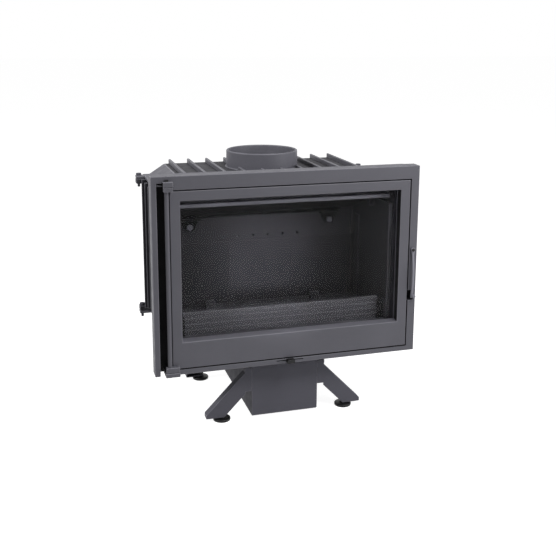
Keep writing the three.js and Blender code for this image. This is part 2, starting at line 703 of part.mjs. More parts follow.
// A leg is a folded sheet: an upright face, a flange along its upper edge and across its tip,
// a foot shelf at the bottom and a tab against the box.
function leg(side, faceY, inward) {
  const upper = (x) => LEG.height - LEG.fall * (x - LEG.start);
  const lower = (x) => upper(x) - LEG.drop;
  const lowerEnd = LEG.start + (LEG.height - LEG.drop - LEG.low) / LEG.fall;
  const near = LEG_TAB.out;
  const outline = (inset) => [
    [near, lower(near) + inset * 1.4],
    [lowerEnd, LEG.low + inset],
    [LEG.tip - inset, LEG.low + inset],
    [LEG.tip - inset, upper(LEG.tip - inset) - inset * 1.4],
    [near, upper(near) - inset * 1.4],
  ];
  const place = (points) => (side < 0 ? mirrored(points) : points);
  const span = (a, b) => (inward > 0 ? [faceY + a, faceY + b] : [faceY - b, faceY - a]);
  const whole = prismY(place(outline(0)), ...span(0, LEG.depth));
  // the hollow is open along the lower slope, and keeps the flange, the tip and the shelf
  const hollow = prismY(place([
    [near - 1, lower(near) - 20],
    [lowerEnd - 8, LEG.low + SHEET],
    [LEG.tip - SHEET, LEG.low + SHEET],
    [LEG.tip - SHEET, upper(LEG.tip - SHEET) - SHEET * 1.4],
    [near - 1, upper(near - 1) - SHEET * 1.4],
  ]), ...span(SHEET, LEG.depth + 1));
  const [tabNear, tabFar] = across(side, BOX_HALF + GAP, near + 1);
  const [y0, y1] = span(0, SHEET);
  const tab = block(tabNear, tabFar, y0, y1, LEG_TAB.low, LEG_TAB.top);
  const [flangeNear, flangeFar] = across(side, BOX_HALF + GAP, BOX_HALF + GAP + SHEET);
  const [f0, f1] = span(0, LEG.depth + 8);
  const flange = block(flangeNear, flangeFar, f0, f1, LEG_TAB.low, LEG_TAB.top);
  const footY = inward > 0 ? FOOT.front : FOOT.back;
  const bore = rodZ(side * FOOT.x, footY, FOOT.stud + 0.5, LEG.low - 1, LEG.low + SHEET + 1);
  return cut(join(cut(whole, hollow), tab, flange), bore);
}

function foot(side, y) {
  const x = side * FOOT.x;
  return join(
    turned([
      [0, 0],
      [FOOT.disc - 1.5, 0],
      [FOOT.disc, 1.5],
      [FOOT.disc, FOOT.thick - 3],
      [FOOT.disc - 4, FOOT.thick],
      [0, FOOT.thick],
    ], x, y, 32),
    rodZ(x, y, FOOT.stud, FOOT.thick - 1, 46, 16),
  );
}

function footNut(side, y) {
  const low = LEG.low + SHEET + GAP;
  const x = side * FOOT.x;
  return cut(
    rodZ(x, y, 8.6, low, low + 7, 6),
    rodZ(x, y, FOOT.stud + 0.4, low - 1, low + 8, 16),
  );
}

// ---------------------------------------------------------------- assembly
addPart('front_frame', frontFrame(), castIron);
addPart('door_leaf', doorLeaf(), castIron);
doorFittings();
hingePins();
addPart('latch_lever', latchLever(), sheetSteel);
addPart('latch_pivot_pin', latchPin(), blackSteel);
addPart('air_shutter', airShutter(), sheetSteel);
addPart('air_control_knob', airKnob(), blackSteel);

addPart('back_wall', backWall(), castIron);
addPart('base_plate', basePlate(), castIron);
addPart('hood', hood(), castIron);
addPart('flue_collar', flueCollar(), castIron);
addPart('hearth_plate', hearth(), darkIron);
addPart('ash_grate', grate(), darkIron);
addPart('ash_pan', ashPan(), sheetSteel);
addPart('fireback', fireback(), darkIron);
addPart('secondary_air_plate', airPlate(), darkIron);
addPart('rear_air_duct', airDuct(), sheetSteel);
addPart('smoke_baffle', baffle(), darkIron);
addPart('airwash_deflector', airwashDeflector(), castIron);
addPart('log_retainer', logRetainer(), darkIron);
addPart('air_box', airBox(), sheetSteel);
addPart('pedestal_box', pedestalBox(), sheetSteel);

for (const [side, sign] of SIDES) {
  addPart(`side_wall_${side}`, sideWall(sign), castIron);
  addPart(`side_liner_${side}`, sideLiner(sign), darkIron);
  addPart(`baffle_bracket_${side}`, baffleBracket(sign), darkIron);
  addPart(`baffle_bolt_${side}`, baffleBolt(sign), blackSteel);
  addPart(`retainer_guide_${side}`, retainerGuide(sign), darkIron);
  addPart(`rear_log_stop_${side}`, rearStop(sign), darkIron);
  addPart(`upper_corner_bolt_${side}`, cornerBolt(sign, true), blackSteel);
  addPart(`lower_corner_bolt_${side}`, cornerBolt(sign, false), blackSteel);
  const ends = [
    ['front', FOOT.front, FOOT.front - LEG.depth / 2, 1],
    ['rear', FOOT.back, FOOT.back + LEG.depth / 2, -1],
  ];
  for (const [end, footY, faceY, inward] of ends) {
    addPart(`leg_${end}_${side}`, leg(sign, faceY, inward), sheetSteel);
    addPart(`foot_${end}_${side}`, foot(sign, footY), blackSteel);
    addPart(`foot_nut_${end}_${side}`, footNut(sign, footY), blackSteel);
  }
}

// the origin is under the middle of the whole, on the floor
const bounds = new THREE.Box3().setFromObject(group);
group.position.y = -(bounds.min.y + bounds.max.y) / 2;

export default group;
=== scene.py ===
"""A built-in cast-iron fireplace insert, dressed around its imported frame: rounded castings in grained
anthracite paint, chamfered bolts, threaded levelling screws, woven seals and clear ceramic glass."""
import json
import math

import bmesh
import bpy
from mathutils import Matrix, Vector


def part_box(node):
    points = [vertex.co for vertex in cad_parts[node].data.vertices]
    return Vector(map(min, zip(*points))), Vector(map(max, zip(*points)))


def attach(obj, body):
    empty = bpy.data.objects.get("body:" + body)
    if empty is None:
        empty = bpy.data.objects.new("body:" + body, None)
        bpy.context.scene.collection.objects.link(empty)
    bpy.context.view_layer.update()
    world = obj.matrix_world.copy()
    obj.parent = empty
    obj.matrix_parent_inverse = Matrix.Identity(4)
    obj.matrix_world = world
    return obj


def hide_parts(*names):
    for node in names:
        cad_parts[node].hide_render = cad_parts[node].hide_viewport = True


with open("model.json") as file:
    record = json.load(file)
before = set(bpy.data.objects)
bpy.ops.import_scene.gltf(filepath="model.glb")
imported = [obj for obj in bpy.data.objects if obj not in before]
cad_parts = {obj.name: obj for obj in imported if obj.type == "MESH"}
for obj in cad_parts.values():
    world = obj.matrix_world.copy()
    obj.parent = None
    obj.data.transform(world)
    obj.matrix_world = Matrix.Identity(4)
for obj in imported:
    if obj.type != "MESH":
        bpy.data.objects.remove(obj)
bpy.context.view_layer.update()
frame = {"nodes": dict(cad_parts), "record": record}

NODES = frame["nodes"]
MM = 0.001
FULL = 2 * math.pi


def middle_of(node):
    low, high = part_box(node)
    return [(a + b) / 2 for a, b in zip(low, high)]


# where the frame's face and its back stand, in mm
COLLAR_BEHIND_FACE = 278
FRAME_DEPTH = 40
FACE_Y = middle_of("flue_collar")[1] / MM - COLLAR_BEHIND_FACE
FRAME_BACK_Y = FACE_Y + FRAME_DEPTH

# regions that get painted shade, in mm: from and to across, then from and to in height
FRAME_SHADE_REGION = (-337, 345, 162, 650)
WINDOW_SHADE_REGION = (-291, 310, 239, 615)
ROOF_SHADE_HEIGHTS = (634, 636)

# the latch's pivot and the knob at its lower end, across and in height
LATCH_PIVOT_X = 337.0
LATCH_KNOB = (341, 315)

# ---------------------------------------------------------------- camera
# fitted to the corners of the frame, door, window and pedestal, to the collar and to the feet
IMAGE = 556
FOCAL_PIXELS = 848.6
SENSOR = 36
EYE = (-0.6231, -2.1818, 1.0063)
YAW, PITCH, ROLL = 16.535, -11.643, 0.264
SHIFT = -0.13

scene = bpy.context.scene
camera_data = bpy.data.cameras.new("camera")
camera_data.sensor_width = SENSOR
camera_data.lens = FOCAL_PIXELS * SENSOR / IMAGE
camera_data.shift_y = SHIFT
camera = bpy.data.objects.new("camera", camera_data)
scene.collection.objects.link(camera)
camera.location = EYE
aim = (
    Matrix.Rotation(math.radians(-YAW), 3, "Z")
    @ Matrix.Rotation(math.radians(90 + PITCH), 3, "X")
    @ Matrix.Rotation(math.radians(ROLL), 3, "Z")
)
camera.rotation_euler = aim.to_euler()
scene.camera = camera
scene.view_settings.view_transform = "Standard"


# ---------------------------------------------------------------- materials
def grey(level, blue=1.0):
    """A nearly neutral colour from a level written as it looks on screen, 0 to 255."""
    linear = ((level / 255 + 0.055) / 1.055) ** 2.4
    return (linear * 1.0, linear * 0.985, linear * blue, 1.0)


def noise(tree, place, scale, detail=3.0, roughness=0.5):
    """A noise over the object's own coordinates. scale is in features per metre."""
    texture = tree.nodes.new("ShaderNodeTexNoise")
    texture.inputs["Scale"].default_value = scale
    texture.inputs["Detail"].default_value = detail
    texture.inputs["Roughness"].default_value = roughness
    tree.links.new(place, texture.inputs["Vector"])
    return texture.outputs["Fac"]


def remap(tree, value, low, high, start=0.3, end=0.7):
    """value from start to end becomes low to high."""
    node = tree.nodes.new("ShaderNodeMapRange")
    node.inputs["From Min"].default_value = start
    node.inputs["From Max"].default_value = end
    node.inputs["To Min"].default_value = low
    node.inputs["To Max"].default_value = high
    tree.links.new(value, node.inputs["Value"])
    return node.outputs["Result"]


def blend_colours(tree, factor, first, second):
    node = tree.nodes.new("ShaderNodeMix")
    node.data_type = "RGBA"
    for socket, value in ((node.inputs[6], first), (node.inputs[7], second)):
        if isinstance(value, tuple):
            socket.default_value = value
        else:
            tree.links.new(value, socket)
    tree.links.new(factor, node.inputs[0])
    return node.outputs[2]


def lighter(colour, gain):
    return tuple(c * gain for c in colour[:3]) + (1.0,)


def painted(name, colour, rough, grain=900, bump=0.3, wave=0.25, spread=0.1, dusty=0.0, metallic=0.0,
            gloss=0.3):
    """Heat-proof paint over metal. Clouds and grain vary its tone, and dust may lie on what faces up."""
    material = bpy.data.materials.new(name)
    material.use_nodes = True
    tree = material.node_tree
    shader = tree.nodes["Principled BSDF"]
    place = tree.nodes.new("ShaderNodeTexCoord").outputs["Object"]

    clouds = remap(tree, noise(tree, place, 7, 4), 0, 1)
    speckle = remap(tree, noise(tree, place, grain, 2), 0, 1)
    tone = blend_colours(tree, clouds, lighter(colour, 1 - spread), lighter(colour, 1 + spread))
    grainy = 1.6 * spread
    fleck = blend_colours(tree, speckle, lighter(colour, 1 - grainy), lighter(colour, 1 + grainy))
    half = tree.nodes.new("ShaderNodeMath")
    half.operation = "MULTIPLY"
    half.inputs[1].default_value = 0.5
    tree.links.new(remap(tree, noise(tree, place, 60, 3), 0.4, 1), half.inputs[0])
    shade = blend_colours(tree, half.outputs[0], tone, fleck)
    if dusty:
        normal = tree.nodes.new("ShaderNodeNewGeometry").outputs["Normal"]
        split = tree.nodes.new("ShaderNodeSeparateXYZ")
        tree.links.new(normal, split.inputs[0])
        up = remap(tree, split.outputs["Z"], 0, dusty, 0.4, 1.0)
        patches = tree.nodes.new("ShaderNodeMath")
        patches.operation = "MULTIPLY"
        tree.links.new(up, patches.inputs[0])
        tree.links.new(remap(tree, noise(tree, place, 35, 5), 0.2, 1), patches.inputs[1])
        shade = blend_colours(tree, patches.outputs[0], shade, DUST)
    tree.links.new(shade, shader.inputs["Base Color"])

    uneven = remap(tree, noise(tree, place, 45, 4), rough - 0.07, rough + 0.08)
    tree.links.new(uneven, shader.inputs["Roughness"])
    shader.inputs["Metallic"].default_value = metallic
    shader.inputs["Specular IOR Level"].default_value = gloss

    cast = tree.nodes.new("ShaderNodeBump")
    cast.inputs["Strength"].default_value = wave
    cast.inputs["Distance"].default_value = 0.6 * MM
    tree.links.new(noise(tree, place, 110, 2), cast.inputs["Height"])
    fine = tree.nodes.new("ShaderNodeBump")
    fine.inputs["Strength"].default_value = bump
    fine.inputs["Distance"].default_value = 0.15 * MM
    tree.links.new(noise(tree, place, grain, 3, 0.6), fine.inputs["Height"])
    tree.links.new(cast.outputs[0], fine.inputs["Normal"])
    tree.links.new(fine.outputs[0], shader.inputs["Normal"])
    return material


def woven(name, colour):
    """Braided mineral rope: crossed strands, dull and dark."""
    material = bpy.data.materials.new(name)
    material.use_nodes = True
    tree = material.node_tree
    shader = tree.nodes["Principled BSDF"]
    place = tree.nodes.new("ShaderNodeTexCoord").outputs["Object"]
    strands = []
    for tilt in (45, -45):
        turn = tree.nodes.new("ShaderNodeMapping")
        turn.inputs["Rotation"].default_value = (0, math.radians(tilt), 0)
        tree.links.new(place, turn.inputs["Vector"])
        wave = tree.nodes.new("ShaderNodeTexWave")
        wave.inputs["Scale"].default_value = 160
        wave.inputs["Distortion"].default_value = 0.6
        tree.links.new(turn.outputs[0], wave.inputs["Vector"])
        strands.append(wave.outputs["Fac"])
    weave = tree.nodes.new("ShaderNodeMath")
    weave.operation = "MAXIMUM"
    tree.links.new(strands[0], weave.inputs[0])
    tree.links.new(strands[1], weave.inputs[1])
    shade = blend_colours(tree, weave.outputs[0], lighter(colour, 0.5), lighter(colour, 1.3))
    tree.links.new(shade, shader.inputs["Base Color"])
    shader.inputs["Roughness"].default_value = 0.95
    fuzz = tree.nodes.new("ShaderNodeBump")
    fuzz.inputs["Strength"].default_value = 0.7
    fuzz.inputs["Distance"].default_value = 0.6 * MM
    tree.links.new(weave.outputs[0], fuzz.inputs["Height"])
    tree.links.new(fuzz.outputs[0], shader.inputs["Normal"])
    return material


def clear_glass(name):
    """Ceramic glass. Lamps shine through it, and its mirror is faint."""
    material = bpy.data.materials.new(name)
    material.use_nodes = True
    tree = material.node_tree
    shader = tree.nodes["Principled BSDF"]
    shader.inputs["Transmission Weight"].default_value = 1.0
    shader.inputs["IOR"].default_value = 1.12
    place = tree.nodes.new("ShaderNodeTexCoord").outputs["Object"]
    tint = blend_colours(tree, noise(tree, place, 9, 3), (0.90, 0.90, 0.92, 1), (0.96, 0.96, 0.97, 1))
    tree.links.new(tint, shader.inputs["Base Color"])
    shader.inputs["Roughness"].default_value = 0.0
    rays = tree.nodes.new("ShaderNodeLightPath")
    through = tree.nodes.new("ShaderNodeBsdfTransparent")
    through.inputs["Color"].default_value = (0.93, 0.93, 0.94, 1)
    mix = tree.nodes.new("ShaderNodeMixShader")
    tree.links.new(rays.outputs["Is Shadow Ray"], mix.inputs["Fac"])
    tree.links.new(shader.outputs[0], mix.inputs[1])
    tree.links.new(through.outputs[0], mix.inputs[2])
    tree.links.new(mix.outputs[0], tree.nodes["Material Output"].inputs["Surface"])
    return material


IRON = grey(78, 1.16)
# painted highlight: a lighter iron for the rounded edges, standing in for the light they catch
IRON_EDGE_HIGHLIGHT = grey(98, 1.14)
# painted shade for the frame's recess, the groove beside the hinge and the window's reveal
RECESS_SHADE = grey(32, 1.1)
# painted shade on the roof's floor between its ribs
VALLEY_SHADE = grey(52, 1.12)
# painted shade: the side walls a darker copy of the frame iron, for the shade on the firebox's flanks
SIDE_SHADE = grey(52, 1.14)
# painted light: the collar a lighter copy of the frame iron, for the light it catches
COLLAR_LIGHT = grey(88, 1.16)
# painted shade: the chamber's iron darker than the frame iron, for the shade inside the firebox
CHAMBER_SHADE = grey(38, 1.14)
# painted shade: the log retainer in the chamber's darkened tone
RETAINER_SHADE = grey(38, 1.14)
# painted shade: a nearly black iron for the deep shade under the smoke baffle, its brackets and the
# retainer guides
DEEP_SHADE = grey(17, 1.1)
SHEET = grey(80, 1.18)
LEVER = grey(112, 1.16)
BLACK = grey(30, 1.05)
ROPE = grey(28)
DUST = grey(128)
cast_iron = painted("cast_iron", IRON, 0.52)
# painted highlight along the rounded edges of the iron castings
cast_edge_highlight = painted("cast_iron_edge_highlight", IRON_EDGE_HIGHLIGHT, 0.44)
# painted shade: a near-black iron for recesses where shade falls
cast_recess_shade = painted("cast_iron_painted_recess_shade", RECESS_SHADE, 0.75, gloss=0.15)
# painted shade: a darker iron for the roof's floor between the ribs
cast_valley_shade = painted("cast_iron_painted_valley_shade", VALLEY_SHADE, 0.7, gloss=0.2)
side_iron_painted_shade = painted("side_iron_painted_shade", SIDE_SHADE, 0.72, gloss=0.08)
# painted shade inside the firebox, with dust on the faces that look up
chamber_iron = painted(
    "chamber_iron", CHAMBER_SHADE, 0.72, bump=0.4, wave=0.35, spread=0.12, dusty=0.06, gloss=0.2)
# painted deep shade, nearly black
deep_shade_iron = painted("deep_shade_iron", DEEP_SHADE, 0.8, bump=0.4, wave=0.3, spread=0.15, gloss=0.12)
# painted highlight along the rounded edges of the chamber's pieces
chamber_edge_highlight = painted(
    "chamber_iron_edge_highlight", lighter(CHAMBER_SHADE, 2.2), 0.6, bump=0.4, wave=0.35, gloss=0.25)
retainer_iron_painted_shade = painted("retainer_iron_painted_shade", RETAINER_SHADE, 0.66, spread=0.1, gloss=0.25)
collar_iron_painted_light = painted("collar_iron_painted_light", COLLAR_LIGHT, 0.5)
lever_steel = painted("lever_steel", LEVER, 0.42, grain=1300, bump=0.15, wave=0.05, spread=0.06)
sheet_steel = painted(
    "sheet_steel", SHEET, 0.6, grain=1300, bump=0.18, wave=0.08, spread=0.06, gloss=0.1)
# painted highlight along the rounded edges of the sheet steel
sheet_edge_highlight = painted(
    "sheet_steel_edge_highlight", lighter(SHEET, 1.45), 0.42, grain=1300, bump=0.18, wave=0.08)
black_steel = painted(
    "black_steel", BLACK, 0.38, grain=1500, bump=0.12, wave=0.05, spread=0.2, metallic=0.5)
seal_rope = woven("sealing_rope", ROPE)
ceramic = clear_glass("ceramic_glass")


# ---------------------------------------------------------------- pieces
BODY_OF = {node: body for body, names in frame["record"]["behaviour"]["bodies"].items() for node in names}


def place_piece(mesh, name, node, materials, crease=35):
    """Puts a finished mesh in the scene in the place of a CAD node."""
    for material in materials:
        mesh.materials.append(material)
    mesh.shade_smooth()
    mesh.set_sharp_from_angle(angle=math.radians(crease))
    piece = bpy.data.objects.new(name, mesh)
    scene.collection.objects.link(piece)
    smooth = piece.modifiers.new("even_shading", "WEIGHTED_NORMAL")
    smooth.keep_sharp = True
    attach(piece, BODY_OF[node])
    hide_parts(node)
    return piece


def rounded(node, materials, width=1.2, segments=2, shade_faces=None):
    """A CAD node with its outer edges rounded. The rounding has the second material, a painted highlight,
    and the faces that the last argument picks have the third, a painted shade. Edges on the seam between
    the frame and the firebox stay sharp, so that it lets no light through."""
    mesh = NODES[node].data.copy()
    mesh.materials.clear()
    mesh.name = node + "_rounded"
    bm = bmesh.new()
    bm.from_mesh(mesh)
    bmesh.ops.remove_doubles(bm, verts=bm.verts, dist=1e-6)
    bmesh.ops.dissolve_limit(bm, angle_limit=math.radians(0.4), verts=bm.verts, edges=bm.edges)
    offset = width * MM
    edges = []
    for edge in bm.edges:
        if not edge.is_manifold or not edge.is_convex:
            continue
        if all(abs(vert.co.y - FRAME_BACK_Y * MM) < 0.6 * MM for vert in edge.verts):
            continue
        room = min(face.calc_area() for face in edge.link_faces) / max(edge.calc_length(), 1e-6)
        roomy = edge.calc_length() > 5 * offset and room > 2.2 * offset
        if roomy and edge.calc_face_angle() > math.radians(32):
            edges.append(edge)
    for face in bm.faces:
        face.material_index = 2 if shade_faces and shade_faces(face) else 0
    bmesh.ops.bevel(
        bm, geom=edges, offset=offset, offset_type="OFFSET", segments=segments, profile=0.5,
        affect="EDGES", clamp_overlap=False, material=1 if len(materials) > 1 else 0,
    )
    bm.to_mesh(mesh)
    bm.free()
    return place_piece(mesh, node + "_casting", node, materials)


def seen_in(region, face):
    """Whether a face lies in a region, behind the frame's face, and doesn't look to the rear."""
    left, right, low, high = region
    x, y, z = face.calc_center_median() / MM
    return y > FACE_Y + 1 and left < x < right and low < z < high and face.normal.y < 0.5


def shaded_frame_recess(face):
    """The walls and the floor of the door's recess and of the groove beside the hinge, which get painted
    shade.
    """
    return seen_in(FRAME_SHADE_REGION, face) and face.calc_center_median().y / MM < FRAME_BACK_Y - 1


def shaded_window_reveal(face):
    """The reveal of the window and the rebate for the glass, which get painted shade, but not the sloped
    sill.
    """
    return seen_in(WINDOW_SHADE_REGION, face) and face.normal.z < 0.3


def shaded_between_ribs(face):
    """The floor of the roof between its ribs, which gets painted shade."""
    low, high = ROOF_SHADE_HEIGHTS
    return face.normal.z > 0.99 and low < face.calc_center_median().z / MM < high


def skin(rings, closed_ring=True, caps=True):
    """A surface over rings of points, all with the same count."""
    mesh = bpy.data.meshes.new("skin")
    bm = bmesh.new()
    rows = [[bm.verts.new(point) for point in ring] for ring in rings]
    count = len(rows[0])
    for near, far in zip(rows, rows[1:]):
        for i in range(count if closed_ring else count - 1):
            j = (i + 1) % count
            bm.faces.new((near[i], near[j], far[j], far[i]))
    if caps:
        bm.faces.new(list(reversed(rows[0])))
        bm.faces.new(rows[-1])
    bmesh.ops.recalc_face_normals(bm, faces=bm.faces)
    bm.to_mesh(mesh)
    bm.free()
    return mesh


def merged(*meshes):
    """One mesh of several."""
    bm = bmesh.new()
    for mesh in meshes:
        bm.from_mesh(mesh)
    whole = bpy.data.meshes.new("merged")
    bm.to_mesh(whole)
    bm.free()
    return whole


def turned(profile, centre, axis="Z", sides=48, reach=None, caps=True):
    """A body turned about an axis: profile lists radius and height in mm. reach(angle, radius, height)
    may change the radius on the way round, for flats and threads."""
    rings = []
    for radius, height in profile:
        ring = []
        for i in range(sides):
            angle = FULL * i / sides
            r = (reach(angle, radius, height) if reach else radius) * MM
            across, along = r * math.cos(angle), r * math.sin(angle)
            offset = (across, along, height * MM) if axis == "Z" else (across, -height * MM, along)
            ring.append(Vector(centre) + Vector(offset))
        rings.append(ring)
    return skin(rings, caps=caps)


def arc(cx, cy, radius, start, end, steps=5):
    """Points of a profile on a round, angles in degrees."""
    angles = [math.radians(start + (end - start) * i / steps) for i in range(steps + 1)]
    return [(cx + radius * math.cos(a), cy + radius * math.sin(a)) for a in angles]


def hexagonal(apothem):
    """The reach of a hexagon, cut off by the profile's own radius at its chamfers."""
    def reach(angle, radius, height):
        return min(radius, apothem / math.cos((angle + math.pi / 6) % (math.pi / 3) - math.pi / 6))
    return reach


def threaded(pitch, depth, start, end):
    """The reach of a right-hand thread between two heights."""
    def reach(angle, radius, height):
        if not start <= height <= end:
            return radius
        phase = (height / pitch - angle / FULL) % 1.0
        return radius - depth * abs(2 * phase - 1)
    return reach


def span(low, high, step):
    count = max(2, round((high - low) / step))
    return [low + (high - low) * i / count for i in range(count + 1)]


def hex_profile(corner, low, high, chamfer):
    return [(corner - chamfer, low), (corner, low + 0.6 * chamfer), (corner, high - 0.6 * chamfer),
            (corner - chamfer, high), (corner * 0.55, high + 0.01)]


# flue collar: a flange with a fillet, a tapered spigot and a rounded rim
def flue_collar():
    low, high = (corner[2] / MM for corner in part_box("flue_collar"))
    x, y, _ = middle_of("flue_collar")
    inner, outer, flange = 92.0, 99.0, 102.0
    rim = (outer - inner) / 2
    profile = [(inner, low), (flange - 0.6, low)]
    profile += arc(flange - 1.2, low + 1.8, 1.2, 0, 90)
    profile += arc(outer + 1.8, low + 4.8, 1.8, 270, 180)
    profile += [(outer, low + 20), (outer - 0.4, high - 12)]
    profile += arc(inner + rim, high - rim, rim - 0.2, 0, 180, 10)
    profile += [(inner, high - 12), (inner, low)]
    mesh = turned(profile, (x, y, 0), sides=144, caps=False)
    # the collar gets the lighter iron as painted light
    place_piece(mesh, "turned_flue_collar", "flue_collar", [collar_iron_painted_light], crease=50)


# levelling feet: a round disc, a boss and a threaded screw
def levelling_foot(node):
    x, y, _ = middle_of(node)
    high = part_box(node)[1][2] / MM
    profile = [(0.5, 0.0), (20.6, 0.0)]
    profile += arc(21.4, 1.6, 1.6, 270, 360, 4)
    profile += arc(21.0, 5.0, 2.0, 0, 80, 4)
    profile += [(18.0, 7.7), (9.0, 8.0), (8.6, 9.4), (5.4, 9.7)]
    body = turned(profile, (x, y, 0), sides=64)
    screw = [(4.9, 9.0), (4.9, 9.6)] + [(4.9, h) for h in span(9.8, high - 1.2, 0.25)] + [(4.0, high - 0.2)]
    stud = turned(screw, (x, y, 0), sides=24, reach=threaded(1.5, 0.7, 9.8, high - 1.5))
    place_piece(merged(body, stud), "turned_" + node, node, [black_steel], crease=50)


def hex_nut(node, bore, name):
    x, y, _ = middle_of(node)
    low, high = (corner[2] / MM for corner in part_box(node))
    corner = 8.5
    profile = [(bore, low), (corner - 0.9, low), (corner, low + 0.6), (corner, high - 0.6),
               (corner - 0.9, high), (bore, high), (bore, low)]
    reach = hexagonal(corner * math.cos(math.pi / 6))
    place_piece(turned(profile, (x, y, 0), sides=48, reach=reach, caps=False), name, node, [black_steel])


# bolts: a chamfered hexagon on a washer, and a threaded end
def upright_bolt(node):
    x, y, _ = middle_of(node)
    low, high = (corner[2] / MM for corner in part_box(node))
    seat = high - 6
    head = turned(hex_profile(7.8, seat + 1.1, high - 0.02, 0.9), (x, y, 0), reach=hexagonal(6.8))
    washer = turned([(7.7, seat), (7.9, seat + 0.3), (7.9, seat + 0.8), (7.6, seat + 1.1)], (x, y, 0))
    heights = span(low + 0.8, seat, 0.25)
    shank = turned([(3.2, low)] + [(3.9, h) for h in heights], (x, y, 0), sides=20,
                   reach=threaded(1.25, 0.55, low + 0.8, low + 14))
    place_piece(merged(head, washer, shank), "machined_" + node, node, [sheet_steel])


def wall_bolt(node):
    low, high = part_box(node)
    x, _, z = middle_of(node)
    front, back = low[1] / MM, high[1] / MM
    centre = (x, 0, z)
    outline = hex_profile(8.9, -(front + 6), -front - 0.02, 1.0)
    head = turned(outline, centre, axis="Y", reach=hexagonal(7.7))
    shank = turned([(3.2, -back), (3.9, -back + 1), (3.9, -(front + 5))], centre, axis="Y", sides=20)
    place_piece(merged(head, shank), "machined_" + node, node, [sheet_steel])


def hinge_pin(node, head_up):
    x, y, _ = middle_of(node)
    low, high = (corner[2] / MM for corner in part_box(node))
    if head_up:
        head = [(5.4, high - 2.7), (5.4, high - 1.6)] + arc(3.4, high - 2.0, 2.0, 0, 90, 5) + [(0.6, high)]
        pin = [(2.2, low), (3.0, low + 1.0), (3.0, high - 2)]
    else:
        head = [(0.6, low)] + arc(3.6, low + 1.8, 1.8, 270, 360, 5) + [(5.4, low + 2.6)]
        pin = [(3.0, low + 2), (3.0, high - 1.0), (2.2, high)]
    place_piece(
        merged(turned(head, (x, y, 0), sides=32), turned(pin, (x, y, 0), sides=32)),
        "turned_" + node, node, [black_steel], crease=50)


# latch: a lever that bows out like a scoop, with an eye at its pivot and a round knob at its end
def latch_lever():
    front = -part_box("latch_lever")[0][1] / MM
    face = FACE_Y - 1  # the lever's back runs just ahead of the frame's face
    stations = [  # height, distance of the middle of the bar ahead of its back, half depth, half width
        (447.6, 2.5, 1.2, 3.6),
        (444.0, 2.5, 2.4, 5.6),
        (439.0, 2.6, 2.4, 5.4),
        (430.0, 2.8, 2.5, 3.5),
        (417.0, 4.2, 2.4, 3.1),
        (401.0, 6.4, 2.4, 3.1),
        (385.0, 7.5, 2.4, 3.2),
        (365.0, 7.6, 2.5, 3.3),
        (346.0, 7.2, 2.5, 3.4),
        (332.0, 5.4, 2.4, 3.4),
        (321.0, 3.4, 2.4, 3.5),
        (313.0, 2.7, 2.4, 3.5),
        (309.4, 2.6, 1.4, 2.8),
    ]

    def between(t):
        """Catmull-Rom through the stations."""
        i = min(int(t), len(stations) - 2)
        u = t - i
        points = [stations[max(0, min(len(stations) - 1, i + k))] for k in (-1, 0, 1, 2)]
        return [0.5 * (2 * b + (c - a) * u + (2 * a - 5 * b + 4 * c - d) * u * u
                       + (3 * b - a - 3 * c + d) * u ** 3) for a, b, c, d in zip(*points)]
    rings = []
    steps = 72
    for i in range(steps + 1):
        z, ahead, deep, wide = between((len(stations) - 1) * i / steps)
        ring = []
        for k in range(24):
            angle = FULL * k / 24
            c, s = math.cos(angle), math.sin(angle)
            flat = 0.62  # squares the section off
            px = math.copysign(abs(c) ** flat, c) * wide
            py = math.copysign(abs(s) ** flat, s) * deep
            ring.append(Vector((LATCH_PIVOT_X + px, face - ahead + py, z)) * MM)
        rings.append(ring)
    bar = skin(rings)
    root = 2 - face
    knob = [(0.5, front)] + arc(3.2, front - 1.7, 1.7, 90, 0, 5)
    knob += [(4.7, front - 3.5), (4.0, front - 5.5), (3.7, root + 0.3), (4.2, root)]
    knob_x, knob_z = LATCH_KNOB
    grip = turned(knob, (knob_x * MM, 0, knob_z * MM), axis="Y", sides=40)
    place_piece(merged(bar, grip), "latch_scoop", "latch_lever", [lever_steel], crease=60)


def latch_pin():
    low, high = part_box("latch_pivot_pin")
    x, _, z = middle_of("latch_pivot_pin")
    front, back = -low[1] / MM, -high[1] / MM
    profile = [(2.2, back), (3.0, back + 1), (3.0, front - 2.4), (4.5, front - 2.3), (4.5, front - 1.2)]
    profile += [(3.6, front - 0.3), (1.2, front)]
    place_piece(turned(profile, (x, 0, z), axis="Y", sides=32), "turned_latch_pin", "latch_pivot_pin",
                [black_steel], crease=50)


